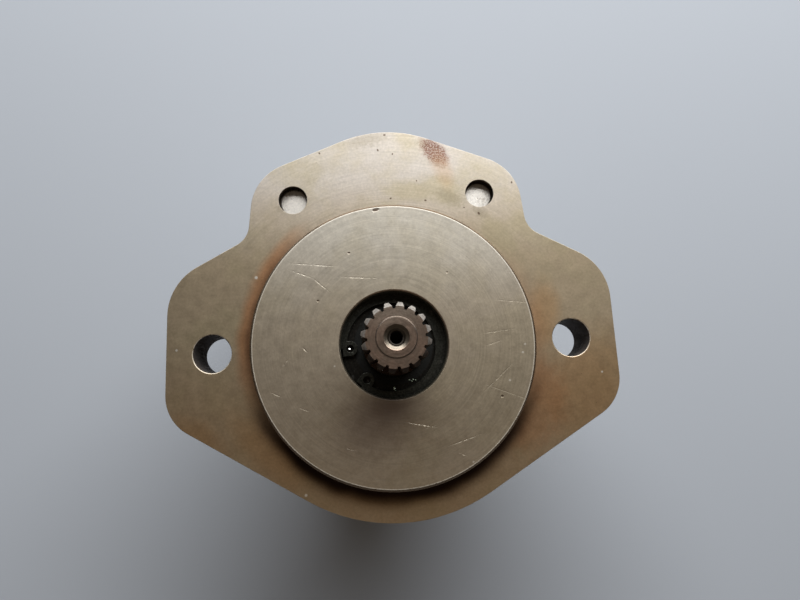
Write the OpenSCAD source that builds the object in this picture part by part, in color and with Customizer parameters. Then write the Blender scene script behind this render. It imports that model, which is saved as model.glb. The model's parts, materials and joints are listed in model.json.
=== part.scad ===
// External gear pump with a two-bolt pilot flange and a splined drive shaft.
// The origin is the pilot's centre on the flange's mounting face. +Z points out along the drive shaft,
// +Y from the drive shaft towards the idler gear, and the pump's body lies below z = 0. Millimetres.

/* [Mounting flange] */
// Thickness of the flange plate
flange_t = 16; // [15:0.5:18]
// Diameter of the locating pilot
pilot_d = 82.55; // [82.4:0.05:82.6]
// Height of the pilot above the mounting face
pilot_h = 6.35; // [6:0.05:6.5]
// Chamfer round the pilot's rim
pilot_chamfer = 0.7; // [0.3:0.1:1]
// Distance between the two mounting holes
mount_pitch = 106.4; // [106:0.1:107]
// Diameter of the mounting holes
mount_hole_d = 11.2; // [11:0.1:12]
// Half the width across the ears
ear_reach = 67; // [66:0.5:69]
// Radius of the flange's lower edge about the drive shaft
base_r = 50.8; // [50:0.1:52]
// Height of the roof's peak before it is rounded
roof_y = 68.7; // [68:0.1:70]

/* [Pump body] */
// Half the width of the body and the cover
body_reach = 42.3; // [42:0.1:43]
// Thickness of the rear cover
cover_t = 19.8; // [19:0.1:21]
// Sideways distance between the body bolts, and the same upwards
bolt_pitch = 57; // [56.5:0.1:58]
// Thread diameter of the body bolts
bolt_d = 10; // [9.9:0.05:10]
// Length of the body bolts under the head
bolt_l = 90; // [88:0.5:90.5]
// Thread diameter of the inlet port
inlet_d = 27; // [24:0.5:28]
// Thread diameter of the outlet port
outlet_d = 22.2; // [18:0.2:24]
// Depth of the port threads
port_depth = 19; // [15:0.5:20]

/* [Gears] */
// Distance between the two gears' axes
centre_distance = 34; // [34:0.01:34.04]
// Number of teeth on each gear
gear_teeth = 12; // [12]
// Module of the gears
gear_module = 2.75; // [2.74:0.01:2.75]
// Profile shift of each gear, in modules
gear_shift = 0.2; // [0.18:0.01:0.2]
// Width of the gears
gear_w = 20; // [19:0.5:21]
// Width of each bearing block
block_w = 18; // [17.5:0.5:19]

/* [Drive shaft] */
// Diameter of the shaft and of both gears' journals
shaft_d = 18; // [18:0.01:18.01]
// Reach of the shaft's end above the mounting face
shaft_reach = 32; // [30:0.5:38]
// Number of spline teeth
spline_teeth = 16; // [15:1:16]
// Diametral pitch of the spline, in teeth per inch
spline_pitch = 24; // [24:1:25]
// Distance from the shaft's end to the foot of the spline
spline_l = 23; // [20:0.5:24]
// Angle of one spline tooth from the X axis
spline_turn = 13.5; // [0:0.5:22]

/* [Shaft seal] */
// Bore of the recess that holds the shaft seal
seal_d = 31; // [30.5:0.5:33]
// Height of the shaft seal
seal_h = 7; // [6:0.5:7]
// Depth of the retaining ring below the pilot's face
ring_depth = 4; // [3:0.1:5]
// Middle of the retaining ring's gap, as an angle from the X axis
ring_turn = 206; // [0:0.1:360]

/* [Clearances] */
// Radial gap between a journal and its bush
journal_gap = 0.03; // [0.02:0.01:0.05]
// Radial gap between the gear tips and the housing
tip_gap = 0.05; // [0.03:0.01:0.08]
// Gap on each side of the gears
side_gap = 0.05; // [0.03:0.01:0.1]
// Amount that each gear tooth is thinned for backlash
backlash = 0.09; // [0.06:0.01:0.12]

/* [Hidden] */
$fn = 96;
cut = 0.5;            // how far a cutter runs past the face that it opens

// Levels along the shaft, from the mounting face down
body_front = -flange_t;
gear_front = body_front - block_w;
gear_back = gear_front - gear_w;
body_back = gear_back - block_w;
cover_back = body_back - cover_t;
gear_mid = (gear_front + gear_back) / 2;

// The two gear axes, and the middle between them
AXES = [[0, 0], [0, centre_distance]];
MID = [0, centre_distance / 2];

// Gears and spline
pressure_angle = 20;
gear_pitch_r = gear_module * gear_teeth / 2;
gear_tip_r = gear_pitch_r + gear_module * (1 + gear_shift);
gear_root_r = gear_pitch_r - gear_module * (1.25 - gear_shift);
cavity_r = gear_tip_r + tip_gap;
shaft_r = shaft_d / 2;
spline_module = 25.4 / spline_pitch;
spline_tip_r = spline_module * (spline_teeth + 1) / 2 - 0.05;
spline_root_r = spline_module * (spline_teeth - 2.3) / 2;
spline_foot = shaft_reach - spline_l;
end_chamfer = 1.15;   // chamfer on the splined end
journal_end = 0.5;    // gap between a journal's end and the flange or the cover
undercut = 1;         // width of the relief beside each gear

// Centre drilling in the shaft's end, inside a low raised ring. A wide cone guards the rim of the
// 60 degree cone, which leads into the pilot hole.
end_ring_r = 5;
end_ring_h = 0.35;
guard_cone_r = 3.3;
guard_cone_h = 0.6;
centre_cone_r = 2.3;
centre_hole_r = 1.6;
centre_cone_h = 1.2;
centre_hole_h = 7;

// Bearings
bush_r = 10.5;
bush_end = 0.5;       // how far a bush stops short of each block face
bush_split = 0.4;
block_gap = 0.04;     // radial gap between the blocks and the housing
relief_depth = 2;     // pockets that let trapped oil out of the meshing teeth
relief_size = [5, 8];
relief_x = 6.7;

// Seals round the cavity, in the body's two end faces
body_seal_r = 22.8;   // radius of the seal's path round each axis
body_seal_wire = 2;
body_groove = [2.4, 2.1];

// Pressure seals, in the outer faces of the bearing blocks
lobe_groove_w = 2.4;
lobe_groove_h = 3.2;
lobe_seal_h = 2;
lobe_fit = 0.1;       // gap on each side of the seal
suction_cut_x = -10;  // the seals are open towards the inlet beyond this

// Shaft seal and its recess
recess_r = seal_d / 2;
ring_t = 1.2;
ring_top = pilot_h - ring_depth;
ring_bottom = ring_top - ring_t;
seal_top = ring_bottom - 0.05;
seal_bottom = seal_top - seal_h;
recess_bottom = seal_bottom - 0.6;
ring_groove_r = 16.85 * seal_d / 32;
ring_lug_r = 13.2 * seal_d / 32;
ring_lug_angle = 23.9;
ring_lug_size = 2.2;
ring_eye_r = 1.05;
ring_inner_r = ring_groove_r - 3.4;
ring_inner_shift = 0.9;   // makes the ring widest opposite its gap
seal_web_r = 11.6;
seal_contact_z = seal_bottom + 2.6;
lip_gap = 0.05;
garter_r = shaft_r + 2.2;
garter_wire_r = 0.6;

// Body bolts, washers and dowels
bolt_r = bolt_d / 2;
bolt_hole_r = 5.5;
bolt_head_af = 16;
bolt_head_h = 6.4;
spotface = [11, 0.8];
washer_r = 10;
washer_t = 2;
bolt_seat = cover_back + spotface[1] - washer_t;
bolt_tip = bolt_seat + bolt_l;
thread_pitch = 1.5;
thread_depth = 0.75;
BOLTS = [for (sx = [-1, 1], sy = [-1, 1]) MID + bolt_pitch / 2 * [sx, sy]];
DOWELS = [MID + [-34, -9], MID + [34, 9]];
dowel_r = 3;
dowel_half = 5;

// Ports
inlet_passage_r = 9.5;
outlet_passage_r = 7.5;
port_spotface_depth = 1.2;

// Outlines

function unit(v) = v / norm(v);
function xy(c) = [c[0], c[1]];
function polar(r, a) = r * [cos(a), sin(a)];

// The arc that rounds corner b = [x, y, radius], between its neighbours a and c
function corner_arc(a, b, c, step) =
    let (u = unit(xy(a) - xy(b)), v = unit(xy(c) - xy(b)), half = acos(u * v) / 2,
         centre = xy(b) + unit(u + v) * b[2] / sin(half),
         p = xy(b) + u * b[2] / tan(half) - centre,
         q = xy(b) + v * b[2] / tan(half) - centre,
         start = atan2(p[1], p[0]),
         sweep = (atan2(q[1], q[0]) - start + 540) % 360 - 180,
         n = ceil(abs(sweep) / step))
    [for (i = [0:n]) centre + polar(b[2], start + sweep * i / n)];

// A closed outline through corners [x, y, radius], each one rounded by its radius
function rounded(corners, step = 4) =
    let (n = len(corners))
    [for (i = [0:n - 1])
        each corner_arc(corners[(i + n - 1) % n], corners[i], corners[(i + 1) % n], step)];

// The right half of an outline, followed by its mirror image
function both_sides(half) =
    concat(half, [for (i = [len(half) - 1:-1:0]) if (half[i][0] > 0) [-half[i][0], half[i][1], half[i][2]]]);

// Where the tangent from point p to a circle of radius r about the origin meets the Y axis, below
function tangent_foot(p, r) = r / sin(atan2(p[1], p[0]) - acos(r / norm(p)));

ear_low = [ear_reach, -18.8];
shoulder = [body_reach - 2.1, roof_y - 15.5, 15];
FLANGE_OUTLINE = both_sides([
    [0, roof_y, 36],
    shoulder,
    [body_reach, 34.1, 7.2],
    [ear_reach - 1, 21.5, 16.5],
    [ear_low[0], ear_low[1], 13],
    [0, tangent_foot(ear_low, base_r), base_r]
]);
BODY_OUTLINE = both_sides([
    [0, roof_y, 36],
    shoulder,
    [body_reach, MID[1], 200],
    [shoulder[0], 2 * MID[1] - shoulder[1], shoulder[2]],
    [0, 2 * MID[1] - roof_y, 36]
]);

// Involute teeth. Angles are in degrees.

function inv(a) = tan(a) * 180 / PI - a;
function tooth_half_angle(r, base_r, base_half) = base_half - (r > base_r ? inv(acos(base_r / r)) : 0);

// Outline of a toothed wheel, with one tooth centred at the angle turn
function toothed(teeth, modul, alpha, shift, thin, tip_r, root_r, turn, steps) =
    let (pitch_r = modul * teeth / 2, base_r = pitch_r * cos(alpha),
         thickness = modul * (PI / 2 + 2 * shift * tan(alpha)) - thin,
         base_half = thickness / (2 * pitch_r) * 180 / PI + inv(alpha),
         low_r = max(base_r, root_r),
         radii = [root_r, for (i = [0:steps]) low_r + (tip_r - low_r) * i / steps],
         first = root_r < base_r ? 0 : 1)
    [for (k = [0:teeth - 1]) let (mid = turn + k * 360 / teeth) each concat(
        [for (i = [first:steps + 1]) polar(radii[i], mid - tooth_half_angle(radii[i], base_r, base_half))],
        [for (i = [steps + 1:-1:first]) polar(radii[i], mid + tooth_half_angle(radii[i], base_r, base_half))]
    )];

// Shared shapes

module slab(z0, z1) {
    translate([0, 0, z0]) linear_extrude(z1 - z0) children();
}

module rod(r, z0, z1) {
    translate([0, 0, z0]) cylinder(r = r, h = z1 - z0);
}

module ring(r0, r1, z0, z1) {
    rotate_extrude() polygon([[r0, z0], [r1, z0], [r1, z1], [r0, z1]]);
}

// Straight length of round rod from point a to point b in the plane at height z
module bar(a, b, r, z) {
    translate([a[0], a[1], z]) rotate([0, 0, atan2(b[1] - a[1], b[0] - a[0])]) rotate([0, 90, 0])
        cylinder(r = r, h = norm(b - a));
}

// Cutter for a countersink at height z: it widens from r to r + c over the depth c, going up
module countersink(r, c, z) {
    translate([0, 0, z - c]) cylinder(r1 = r, r2 = r + c, h = c);
    translate([0, 0, z]) cylinder(r = r + c, h = cut);
}

module at_axes() {
    for (p = AXES) translate(p) children();
}

// Casings

// Cutter for the free threads above a bolt's tip. The ridges are rings, and the last one is cut by the face.
module thread_mouth() {
    rings = floor(-bolt_tip / thread_pitch);
    crest_r = bolt_r - thread_depth;
    rotate_extrude() polygon([
        [0, bolt_tip - 2 * cut], [bolt_r, bolt_tip - 2 * cut],
        for (i = [rings - 1:-1:0]) each [
            [bolt_r, -(i + 0.5) * thread_pitch],
            [crest_r, -i * thread_pitch]],
        [crest_r, cut], [0, cut]]);
}

module mounting_flange() color("#77736a") difference() {
    union() {
        slab(-flange_t, 0) polygon(rounded(FLANGE_OUTLINE));
        rod(pilot_d / 2, -cut, pilot_h - pilot_chamfer);
        translate([0, 0, pilot_h - pilot_chamfer])
            cylinder(r1 = pilot_d / 2, r2 = pilot_d / 2 - pilot_chamfer, h = pilot_chamfer);
    }
    // Mounting holes
    for (s = [-1, 1]) translate([s * mount_pitch / 2, 0, 0]) {
        rod(mount_hole_d / 2, -flange_t - cut, cut);
        countersink(mount_hole_d / 2, 0.2, 0);
    }
    // Shaft hole, seal recess and the retaining ring's groove
    rod(shaft_r + 0.6, -flange_t - cut, recess_bottom + cut);
    rod(recess_r, recess_bottom, pilot_h + cut);
    countersink(recess_r, 0.4, pilot_h);
    ring(recess_r - cut, ring_groove_r, ring_bottom - 0.05, ring_top + 0.05);
    // Tapped holes: the upper pair comes out through the mounting face, the lower pair ends in the pilot
    for (p = BOLTS) translate(p) {
        if (p[1] > MID[1]) {
            rod(bolt_r, -flange_t - cut, bolt_tip - cut);
            thread_mouth();
        } else rod(bolt_r, -flange_t - cut, bolt_tip + 1.5);
    }
    for (p = DOWELS) translate(p) rod(dowel_r, body_front - cut, body_front + dowel_half);
}

// Cutter for the groove round the cavity, reaching inwards from the face at z0 to z1
module body_groove_cutter(z0, z1) {
    inner = body_seal_r - body_groove[0] / 2;
    outer = body_seal_r + body_groove[0] / 2;
    slab(z0, z1) difference() {
        union() {
            at_axes() circle(outer);
            translate([-outer, 0]) square([2 * outer, centre_distance]);
        }
        at_axes() circle(inner);
        translate([-inner, 0]) square([2 * inner, centre_distance]);
    }
}

// Cutter for a threaded port on the side that dir points to, with its passage into the cavity
module port_cutter(dir, thread_r, passage_r) {
    translate([0, MID[1], gear_mid]) rotate([0, dir * 90, 0]) {
        cylinder(r = passage_r, h = body_reach);
        translate([0, 0, body_reach - port_depth]) cylinder(r = thread_r, h = port_depth + cut);
        translate([0, 0, body_reach - port_spotface_depth - 2.5])
            cylinder(r1 = thread_r, r2 = thread_r + 1.6, h = 2.5);
        translate([0, 0, body_reach - port_spotface_depth])
            cylinder(r = thread_r + 5, h = port_spotface_depth + cut);
    }
}

module gear_housing() color("#9a9c9e") difference() {
    slab(body_back, body_front) polygon(rounded(BODY_OUTLINE));
    at_axes() rod(cavity_r, body_back - cut, body_front + cut);
    body_groove_cutter(body_front - body_groove[1], body_front + cut);
    body_groove_cutter(body_back - cut, body_back + body_groove[1]);
    port_cutter(-1, inlet_d / 2, inlet_passage_r);
    port_cutter(1, outlet_d / 2, outlet_passage_r);
    for (p = BOLTS) translate(p) rod(bolt_hole_r, body_back - cut, body_front + cut);
    for (p = DOWELS) translate(p) {
        rod(dowel_r, body_front - dowel_half, body_front + cut);
        rod(dowel_r, body_back - cut, body_back + dowel_half);
    }
}

module rear_cover() color("#5f5d58") difference() {
    slab(cover_back, body_back) polygon(rounded(BODY_OUTLINE));
    for (p = BOLTS) translate(p) {
        rod(bolt_hole_r, cover_back - cut, body_back + cut);
        rod(spotface[0], cover_back - cut, cover_back + spotface[1]);
    }
    for (p = DOWELS) translate(p) rod(dowel_r, body_back - dowel_half, body_back + cut);
}

// Rotating group

// A pump gear with both of its journals, up to the level top
module gear_with_journals(turn, top) {
    slab(gear_back + side_gap, gear_front - side_gap)
        polygon(toothed(gear_teeth, gear_module, pressure_angle, gear_shift, backlash,
                        gear_tip_r, gear_root_r, turn, 8));
    difference() {
        rod(shaft_r, body_back + journal_end, top);
        ring(shaft_r - 0.3, shaft_r + 1, gear_front - side_gap, gear_front - side_gap + undercut);
        ring(shaft_r - 0.3, shaft_r + 1, gear_back + side_gap - undercut, gear_back + side_gap);
    }
}

module splined_end() {
    difference() {
        intersection() {
            slab(spline_foot - 1, shaft_reach)
                polygon(toothed(spline_teeth, spline_module, 30, 0, 0.06,
                                spline_tip_r, spline_root_r, spline_turn, 4));
            rotate_extrude() polygon([
                [0, spline_foot - 1], [shaft_r, spline_foot - 1],
                [shaft_r, shaft_reach - end_ring_h - end_chamfer],
                [shaft_r - end_chamfer, shaft_reach - end_ring_h],
                [end_ring_r + end_ring_h, shaft_reach - end_ring_h], [end_ring_r, shaft_reach],
                [0, shaft_reach]]);
        }
        // Centre drilling
        translate([0, 0, shaft_reach]) rotate_extrude() polygon([
            [0, -centre_hole_h], [centre_hole_r, -centre_hole_h],
            [centre_hole_r, -guard_cone_h - centre_cone_h], [centre_cone_r, -guard_cone_h],
            [guard_cone_r, 0], [guard_cone_r, cut], [0, cut]]);
    }
    // Cone where the spline's grooves run out into the shaft
    translate([0, 0, spline_foot - 0.01])
        cylinder(r1 = shaft_r, r2 = spline_root_r - 0.2, h = 3);
}

module drive_shaft() color("#6b6660") {
    gear_with_journals(0, spline_foot);
    splined_end();
}

module idler_gear() color("#6b6660") translate(AXES[1])
    gear_with_journals(180 / gear_teeth, body_front - journal_end);

// Bearings

// Cutter for the groove of a pressure seal: a 3-shaped path that is open towards the inlet
module lobe_path(width) {
    r = centre_distance / 2;
    difference() {
        at_axes() difference() {
            circle(r + width / 2);
            circle(r - width / 2);
        }
        translate([suction_cut_x - cavity_r, -cavity_r])
            square([cavity_r, centre_distance + 2 * cavity_r]);
    }
}

// A bearing block between z0 and z1. Its seal groove is in the face at z_outer, and z_gear faces the gears.
module bearing_block(z_outer, z_gear) {
    dir = z_outer > z_gear ? 1 : -1;
    difference() {
        slab(min(z_outer, z_gear), max(z_outer, z_gear)) at_axes() circle(cavity_r - block_gap);
        at_axes() rod(bush_r, min(z_outer, z_gear) - cut, max(z_outer, z_gear) + cut);
        slab(min(z_outer + dir * cut, z_outer - dir * lobe_groove_h),
             max(z_outer + dir * cut, z_outer - dir * lobe_groove_h))
            lobe_path(lobe_groove_w);
        for (s = [-1, 1]) translate([s * relief_x, MID[1], z_gear])
            cube([relief_size[0], relief_size[1], 2 * relief_depth], center = true);
    }
}

module front_bearing_block() color("#b4b2a8") bearing_block(body_front, gear_front);

module rear_bearing_block() color("#b4b2a8") bearing_block(body_back, gear_back);

// A split bush, with its joint on the pressure side
module bush(axis, z0, z1) {
    translate(axis) difference() {
        ring(shaft_r + journal_gap, bush_r, z0, z1);
        translate([0, -bush_split / 2, z0 - cut]) cube([bush_r + 1, bush_split, z1 - z0 + 2 * cut]);
    }
}

module front_drive_bush() color("#b08a4a") bush(AXES[0], gear_front + bush_end, body_front - bush_end);

module front_idler_bush() color("#b08a4a") bush(AXES[1], gear_front + bush_end, body_front - bush_end);

module rear_drive_bush() color("#b08a4a") bush(AXES[0], body_back + bush_end, gear_back - bush_end);

module rear_idler_bush() color("#b08a4a") bush(AXES[1], body_back + bush_end, gear_back - bush_end);

// Seals

// A round cord seal that runs round both gears, centred at height z
module body_seal(z) {
    wire_r = body_seal_wire / 2;
    translate([0, 0, z]) {
        rotate_extrude(angle = 180, start = 180) translate([body_seal_r, 0]) circle(wire_r);
        translate(AXES[1]) rotate_extrude(angle = 180, start = 0) translate([body_seal_r, 0]) circle(wire_r);
    }
    for (s = [-1, 1]) bar([s * body_seal_r, 0], [s * body_seal_r, centre_distance], wire_r, z);
}

module front_body_seal() color("#1c1c1c") body_seal(body_front - body_groove[1] / 2);

module rear_body_seal() color("#1c1c1c") body_seal(body_back + body_groove[1] / 2);

module front_pressure_seal() color("#222222")
    slab(body_front - lobe_groove_h, body_front - lobe_groove_h + lobe_seal_h)
        lobe_path(lobe_groove_w - 2 * lobe_fit);

module rear_pressure_seal() color("#222222")
    slab(body_back + lobe_groove_h - lobe_seal_h, body_back + lobe_groove_h)
        lobe_path(lobe_groove_w - 2 * lobe_fit);

module front_backup_ring() color("#e4dcc4")
    slab(body_front - lobe_groove_h + lobe_seal_h, body_front) lobe_path(lobe_groove_w - 2 * lobe_fit);

module rear_backup_ring() color("#e4dcc4")
    slab(body_back, body_back + lobe_groove_h - lobe_seal_h) lobe_path(lobe_groove_w - 2 * lobe_fit);

// Pressed steel case: a tube in the recess with a flat web on its outer side
module shaft_seal_case() color("#2b2a28") rotate_extrude() polygon([
    [recess_r - 1.2, seal_bottom], [recess_r, seal_bottom], [recess_r, seal_top],
    [seal_web_r, seal_top], [seal_web_r, seal_top - 1], [recess_r - 1.2, seal_top - 1]]);

// Rubber lip: bonded to the web's inner edge, it reaches down to its sealing edge on the shaft
module shaft_seal_lip() color("#151515") rotate_extrude() difference() {
    polygon([
        [seal_web_r, seal_top], [seal_web_r, seal_top - 1], [seal_web_r - 0.6, seal_top - 2.2],
        [garter_r + 1.2, seal_contact_z + 0.9], [garter_r + 1.2, seal_contact_z - 1],
        [shaft_r + 1.4, seal_contact_z - 1.2], [shaft_r + lip_gap, seal_contact_z],
        [shaft_r + 1.1, seal_contact_z + 1.5], [seal_web_r - 1.4, seal_top - 1],
        [shaft_r + lip_gap, seal_top - 0.2], [shaft_r + lip_gap + 0.5, seal_top]]);
    translate([garter_r + 0.5, seal_contact_z]) circle(garter_wire_r + 0.05);
}

module seal_garter_spring() color("#8d8d8d")
    translate([0, 0, seal_contact_z]) rotate_extrude() translate([garter_r + 0.5, 0]) circle(garter_wire_r);

// Internal retaining ring with two eyes for the pliers
module seal_retaining_ring() color("#1e1d1b") slab(ring_bottom, ring_top) rotate(ring_turn) difference() {
    union() {
        difference() {
            circle(ring_groove_r);
            translate([ring_inner_shift, 0]) circle(ring_inner_r);
            polygon([[0, 0], polar(40, -ring_lug_angle), polar(40, ring_lug_angle)]);
        }
        for (s = [-1, 1]) rotate(s * ring_lug_angle) translate([ring_lug_r, 0]) {
            circle(ring_lug_size);
            translate([0, -ring_lug_size]) square([ring_lug_size, 2 * ring_lug_size]);
        }
    }
    for (s = [-1, 1]) rotate(s * ring_lug_angle) translate([ring_lug_r, 0]) circle(ring_eye_r);
}

// Fasteners

module dowel_pins() color("#a5a5a5") for (p = DOWELS, z = [body_front, body_back])
    translate(p) rod(dowel_r, z - dowel_half, z + dowel_half);

module body_bolts() color("#8f9092") for (p = BOLTS) translate(p) {
    rod(bolt_r, bolt_seat, bolt_tip - 1);
    translate([0, 0, bolt_tip - 1]) cylinder(r1 = bolt_r, r2 = bolt_r - 1, h = 1);
    head_r = bolt_head_af / sqrt(3);
    intersection() {
        translate([0, 0, bolt_seat - bolt_head_h]) cylinder(r = head_r, h = bolt_head_h, $fn = 6);
        translate([0, 0, bolt_seat - bolt_head_h])
            cylinder(r1 = bolt_head_af / 2 - 0.2, r2 = bolt_head_af / 2 - 0.2 + 2 * bolt_head_h,
                     h = bolt_head_h);
    }
}

module bolt_washers() color("#9fa0a2") for (p = BOLTS)
    translate(p) ring(bolt_r + 0.25, washer_r, bolt_seat, bolt_seat + washer_t);

mounting_flange();
gear_housing();
rear_cover();
drive_shaft();
idler_gear();
front_bearing_block();
rear_bearing_block();
front_drive_bush();
front_idler_bush();
rear_drive_bush();
rear_idler_bush();
front_body_seal();
rear_body_seal();
front_pressure_seal();
rear_pressure_seal();
front_backup_ring();
rear_backup_ring();
shaft_seal_case();
shaft_seal_lip();
seal_garter_spring();
seal_retaining_ring();
dowel_pins();
body_bolts();
bolt_washers();
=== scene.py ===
"""Looks of the gear pump: materials, worn edges, port threads, oil, light and camera round the model."""
import json
import math

import bmesh
import bpy
from mathutils import Matrix, Vector


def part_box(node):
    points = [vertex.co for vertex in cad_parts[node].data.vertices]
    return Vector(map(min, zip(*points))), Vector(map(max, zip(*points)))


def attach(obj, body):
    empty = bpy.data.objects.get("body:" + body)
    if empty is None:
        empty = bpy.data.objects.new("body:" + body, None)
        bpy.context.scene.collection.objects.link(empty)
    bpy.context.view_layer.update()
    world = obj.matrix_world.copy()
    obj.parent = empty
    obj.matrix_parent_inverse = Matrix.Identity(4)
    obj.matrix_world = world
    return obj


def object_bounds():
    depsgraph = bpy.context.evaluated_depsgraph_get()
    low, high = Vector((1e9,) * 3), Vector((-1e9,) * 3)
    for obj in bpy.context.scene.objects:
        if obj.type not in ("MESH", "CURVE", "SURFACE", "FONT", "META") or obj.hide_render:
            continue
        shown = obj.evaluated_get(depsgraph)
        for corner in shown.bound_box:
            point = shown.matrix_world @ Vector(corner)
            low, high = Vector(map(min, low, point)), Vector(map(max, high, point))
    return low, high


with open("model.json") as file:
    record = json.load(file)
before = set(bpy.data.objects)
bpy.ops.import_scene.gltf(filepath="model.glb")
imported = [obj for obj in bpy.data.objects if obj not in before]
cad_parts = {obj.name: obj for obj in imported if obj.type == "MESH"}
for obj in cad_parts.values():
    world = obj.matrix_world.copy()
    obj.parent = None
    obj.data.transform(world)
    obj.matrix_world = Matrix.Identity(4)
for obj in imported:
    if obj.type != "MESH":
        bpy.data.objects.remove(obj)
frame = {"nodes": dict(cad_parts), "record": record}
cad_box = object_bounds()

MM = 0.001
INCH = 25.4                # in millimetres
nodes = frame["nodes"]
mounts = {m["name"]: m for m in frame["record"]["mounts"]}


def low_high(name):
    """A node's lowest and highest corners, in millimetres."""
    return [Vector(corner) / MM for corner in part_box(name)]


# ---------------------------------------------------------------- sizes from the frame, in millimetres

PILOT_R = mounts["pilot"]["dims"]["r_mm"]
PILOT_TOP = low_high("mounting_flange")[1].z
FLANGE_BACK = low_high("mounting_flange")[0].z
BODY_BACK = low_high("gear_housing")[0].z
COVER_BACK = low_high("rear_cover")[0].z
SHAFT_END = low_high("drive_shaft")[1].z
RECESS_R = low_high("shaft_seal_case")[1].x
RING_TOP = low_high("seal_retaining_ring")[1].z
SEAL_TOP = low_high("shaft_seal_case")[1].z
MOUNT_X = mounts["mounting_bolts"]["dims"]["spacing_x_mm"] / 2
MOUNT_R = mounts["mounting_bolts"]["dims"]["hole_r_mm"]
PORTS = {name: mounts[name] for name in ("inlet_port", "outlet_port")}
PORT_Y = PORTS["inlet_port"]["pos_m"][1] / MM
PORT_Z = PORTS["inlet_port"]["pos_m"][2] / MM
PORT_FACE_X = PORTS["outlet_port"]["pos_m"][0] / MM + 2.5      # the ports' spot faces, outside their threads
BOLT_TIP = low_high("body_bolts")[1].z
BOLT_R = 5
WASHER_R = 10
BOLT_SEAT_R = 11         # spot faces under the washers
WASHERS_LOW, WASHERS_HIGH = low_high("bolt_washers")
BOLTS = [(x, y) for x in (WASHERS_LOW.x + WASHER_R, WASHERS_HIGH.x - WASHER_R)
         for y in (WASHERS_LOW.y + WASHER_R, WASHERS_HIGH.y - WASHER_R)]
SHAFT_SHADE_FROM = 3      # height from which painted shade darkens the drive shaft
CENTRE_HOLE_FROM = 20    # height above which the shaft's centre hole lies


# ---------------------------------------------------------------- shader graphs

NOISE_LOW, NOISE_HIGH = 0.35, 0.65      # the range that most of a noise lies in
SCRATCH_HALF_WIDTH = 0.16


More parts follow.
